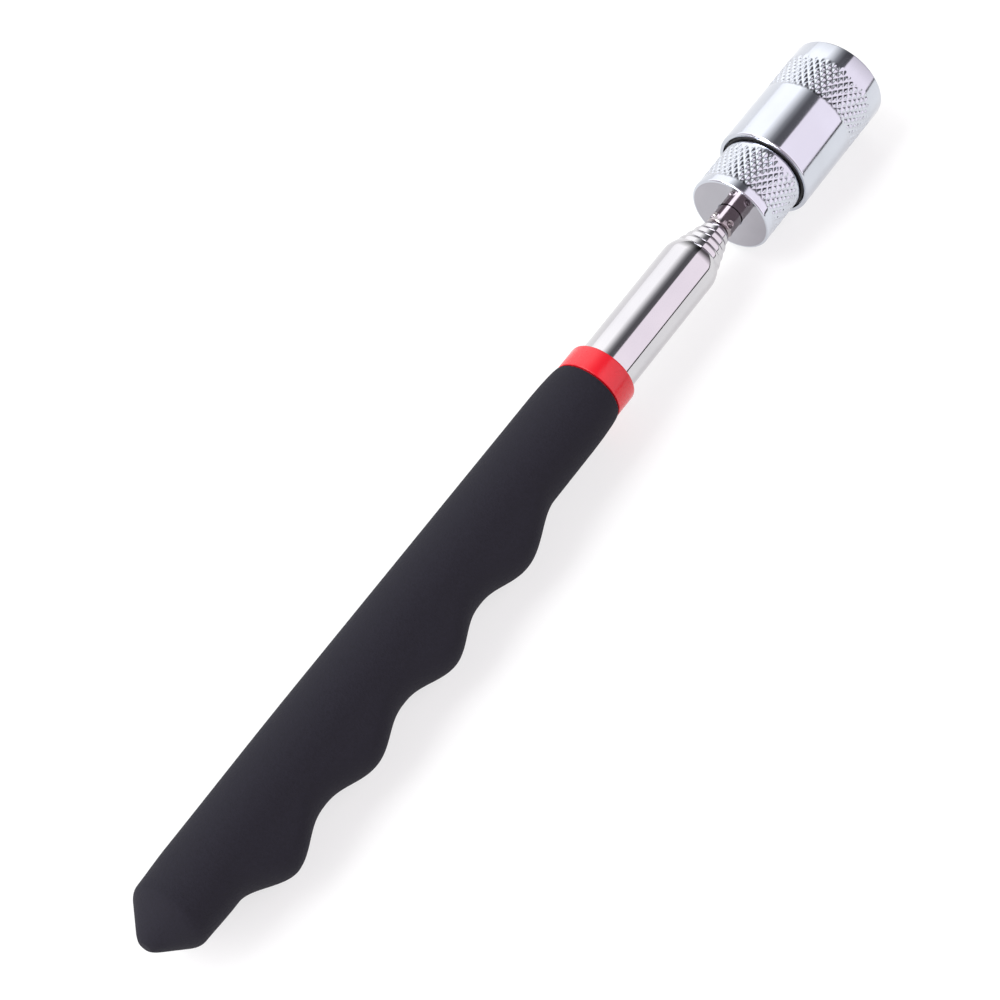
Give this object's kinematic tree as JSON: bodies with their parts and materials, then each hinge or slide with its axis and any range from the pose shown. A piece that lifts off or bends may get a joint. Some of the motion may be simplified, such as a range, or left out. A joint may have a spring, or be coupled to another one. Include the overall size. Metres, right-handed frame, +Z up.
{
  "type": "magnetic pickup tool",
  "caption": "Telescopic magnetic pickup tool with a finger-shaped foam grip, nested chromed sections and a knurled two-part swivel head.",
  "frame": {"origin": "middle of the overall bounding box in X and Y, on the plane the tool lies on", "axes": "+X along the tool from the grip to the magnet, +Y away from the finger humps, +Z up from the plane the tool lies on"},
  "size_m": [0.19, 0.0188, 0.0169],
  "materials": {
    "black_foam": "closed-cell foam, matt and finely grained",
    "red_plastic": "glossy moulded plastic",
    "chrome_plated": "polished chrome plate",
    "black_plastic": "matt moulded plastic",
    "brass_bush": "rolled brass strip",
    "black_rubber": "smooth rubber",
    "spring_steel": "drawn spring wire",
    "cell_steel": "plain nickel-plated steel can",
    "white_plastic": "thin white insulating sleeve",
    "brass_pad": "plated contact",
    "board_green": "solder-masked circuit board",
    "clear_lens": "water-clear resin",
    "magnet_nickel": "nickel-plated sintered magnet"
  },
  "bodies": {
    "handle": {"foam_grip": "black_foam", "red_collar": "red_plastic", "outer_tube": "chrome_plated", "tail_plug": "black_plastic"},
    "section_2": {"section_tube_2": "chrome_plated", "friction_bush_2": "brass_bush"},
    "section_3": {"section_tube_3": "chrome_plated", "friction_bush_3": "brass_bush"},
    "section_4": {"section_tube_4": "chrome_plated", "friction_bush_4": "brass_bush"},
    "section_5": {"section_tube_5": "chrome_plated", "friction_bush_5": "brass_bush"},
    "rod_bush": {"friction_bush_6": "brass_bush"},
    "rod": {"inner_rod": "chrome_plated"},
    "head_rear": {"rear_cap": "chrome_plated", "o_ring": "black_rubber", "contact_spring": "spring_steel"},
    "battery_pack": {"battery_sleeve": "white_plastic", "battery_cell_1": "cell_steel", "battery_cell_2": "cell_steel", "battery_cell_3": "cell_steel", "battery_cell_4": "cell_steel"},
    "head_front": {"front_shell": "chrome_plated", "ring_magnet": "magnet_nickel", "led": "clear_lens", "led_board": "board_green", "contact_pad": "brass_pad"}
  },
  "joints": [
    {"name": "section_2_slide", "type": "slide", "parent": "handle", "child": "section_2", "axis": [1, 0, 0], "range_m": [0, 0.12]},
    {"name": "section_3_slide", "type": "slide", "parent": "section_2", "child": "section_3", "axis": [1, 0, 0], "range_m": [0, 0.12]},
    {"name": "section_4_slide", "type": "slide", "parent": "section_3", "child": "section_4", "axis": [1, 0, 0], "range_m": [0, 0.12]},
    {"name": "section_5_slide", "type": "slide", "parent": "section_4", "child": "section_5", "axis": [1, 0, 0], "range_m": [0, 0.12]},
    {"name": "rod_bush_slide", "type": "slide", "parent": "section_5", "child": "rod_bush", "axis": [1, 0, 0], "range_m": [0, 0.12]},
    {"name": "rod_spin", "type": "hinge", "parent": "rod_bush", "child": "rod", "pos_m": [-0.0744, 0.00093, 0.00846], "axis": [1, 0, 0], "continuous": true},
    {"name": "head_tilt", "type": "hinge", "parent": "rod", "child": "head_rear", "pos_m": [0.0594, 0.00093, 0.00846], "axis": [0, 0, 1], "range_deg": [-10, 10]},
    {"name": "battery_travel", "type": "slide", "parent": "head_rear", "child": "battery_pack", "axis": [1, 0, 0], "range_m": [0, 0.0005]},
    {"name": "twist_switch", "type": "hinge", "parent": "battery_pack", "child": "head_front", "pos_m": [0.078, 0.00093, 0.00846], "axis": [1, 0, 0], "range_deg": [0, 180]}
  ],
  "couplings": [
    {"joint": "twist_switch", "follows": "battery_travel", "rad_per_m": 6283}
  ]
}
